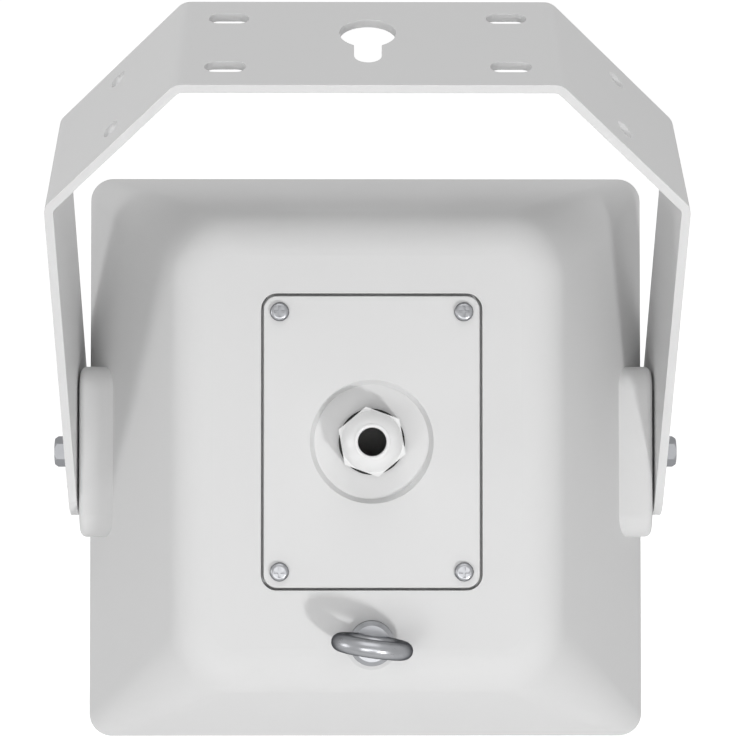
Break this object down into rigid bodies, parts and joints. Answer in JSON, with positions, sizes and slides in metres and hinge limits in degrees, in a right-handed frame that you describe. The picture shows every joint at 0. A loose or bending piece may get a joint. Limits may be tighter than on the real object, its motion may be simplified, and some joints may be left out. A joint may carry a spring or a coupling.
{
  "type": "installation speaker",
  "caption": "Weatherproof installation loudspeaker with a tapered moulded cabinet, tilting in a folded U-shaped steel bracket, with a cable gland and a safety eyebolt on its back.",
  "frame": {"origin": "centre of the bracket's mounting face, midway between its four slots", "axes": "+Z out of the mounting face, +X along the pivot axis, +Y the side the speaker fires to"},
  "size_m": [0.304, 0.3167, 0.3837],
  "materials": {
    "bracket_paint": "fine-textured powder coat, light grey",
    "cabinet_shell": "moulded, light grey, matt",
    "cover_shell": "moulded, light grey, matt",
    "zinc_steel": "zinc-plated steel",
    "brass_insert": "turned brass",
    "gland_plastic": "moulded nylon, light grey",
    "black_rubber": "soft black rubber",
    "spacer_nylon": "black nylon",
    "grille_paint": "powder-coated perforated steel, light grey",
    "foam": "open-cell black foam",
    "baffle_board": "moulded black board",
    "cast_frame": "cast and painted black",
    "plate_steel": "zinc-plated steel",
    "ferrite": "sintered ferrite",
    "cone_paper": "pressed paper pulp, black",
    "former_film": "polyimide film",
    "copper_wire": "enamelled copper wire",
    "spider_cloth": "resin-treated cloth",
    "horn_plastic": "moulded black",
    "hf_housing": "steel motor, painted black",
    "board_laminate": "glass-epoxy laminate, green",
    "capacitor_sleeve": "film capacitor sleeve",
    "resistor_body": "cement body",
    "lamination": "stacked silicon steel",
    "terminal_plastic": "black phenolic",
    "knob_plastic": "black moulded"
  },
  "bodies": {
    "bracket": {"u_bracket": "bracket_paint"},
    "cabinet": {"cabinet": "cabinet_shell", "pivot_inserts": "brass_insert", "pivot_bolts": "zinc_steel", "pivot_spring_washers": "zinc_steel", "pivot_flat_washers": "zinc_steel", "pivot_spacers": "spacer_nylon", "terminal_cover": "cover_shell", "cover_gasket": "black_rubber", "cover_screws": "zinc_steel", "gland_body": "gland_plastic", "gland_ring": "black_rubber", "gland_locknut": "gland_plastic", "gland_dome_nut": "gland_plastic", "gland_seal": "black_rubber", "safety_eyebolt": "zinc_steel", "eyebolt_insert": "brass_insert", "grille": "grille_paint", "grille_foam": "foam", "grille_screws": "zinc_steel", "baffle": "baffle_board", "baffle_gasket": "black_rubber", "baffle_screws": "zinc_steel", "driver_frame": "cast_frame", "driver_gasket": "black_rubber", "driver_screws": "zinc_steel", "top_plate": "plate_steel", "magnet": "ferrite", "back_plate": "plate_steel", "surround": "black_rubber", "spider": "spider_cloth", "horn": "horn_plastic", "hf_driver": "hf_housing", "hf_cap": "horn_plastic", "crossover_board": "board_laminate", "board_standoffs": "brass_insert", "board_screws": "zinc_steel", "crossover_coils": "copper_wire", "crossover_capacitors": "capacitor_sleeve", "crossover_resistor": "resistor_body", "transformer_core": "lamination", "transformer_winding": "copper_wire", "transformer_strap": "zinc_steel", "strap_screws": "zinc_steel", "terminal_block": "terminal_plastic", "terminal_screws": "zinc_steel", "selector_body": "terminal_plastic", "selector_nut": "zinc_steel"},
    "cone_assembly": {"cone": "cone_paper", "coil_former": "former_film", "coil_winding": "copper_wire"},
    "tap_knob": {"selector_knob": "knob_plastic"}
  },
  "joints": [
    {"name": "cabinet_tilt", "type": "hinge", "parent": "bracket", "child": "cabinet", "pos_m": [0, 0, -0.227], "axis": [1, 0, 0], "range_deg": [-52.3, 127.7]},
    {"name": "cone_travel", "type": "slide", "parent": "cabinet", "child": "cone_assembly", "axis": [0, 0.7912, -0.6115], "range_m": [-0.004, 0.004], "stiffness_N_per_m": 2300, "deforming": ["surround", "spider"]},
    {"name": "tap_select", "type": "hinge", "parent": "cabinet", "child": "tap_knob", "pos_m": [0.0019, -0.04455, -0.14075], "axis": [0, -0.7912, 0.6115], "range_deg": [-60, 60]}
  ]
}
